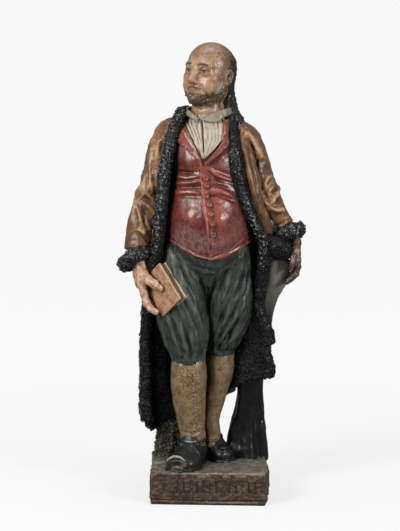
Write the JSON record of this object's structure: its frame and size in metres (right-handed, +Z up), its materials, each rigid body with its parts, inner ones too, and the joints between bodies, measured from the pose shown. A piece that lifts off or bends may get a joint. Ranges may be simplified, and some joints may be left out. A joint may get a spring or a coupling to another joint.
{
  "type": "terracotta figure",
  "caption": "Painted terracotta figure of a standing scholar in a fur-lined gown and buttoned waistcoat, holding a book and resting a hand on a tree stump, on a rectangular slab.",
  "frame": {"origin": "middle of the slab's underside", "axes": "+Z up, -Y towards the viewer whom the figure faces, +X towards the tree stump"},
  "size_m": [0.1744, 0.0943, 0.4201],
  "materials": {
    "terracotta": "fired terracotta, painted and varnished, with wear, chips and crackle"
  },
  "bodies": {
    "root": {"figure": "terracotta"}
  },
  "joints": []
}
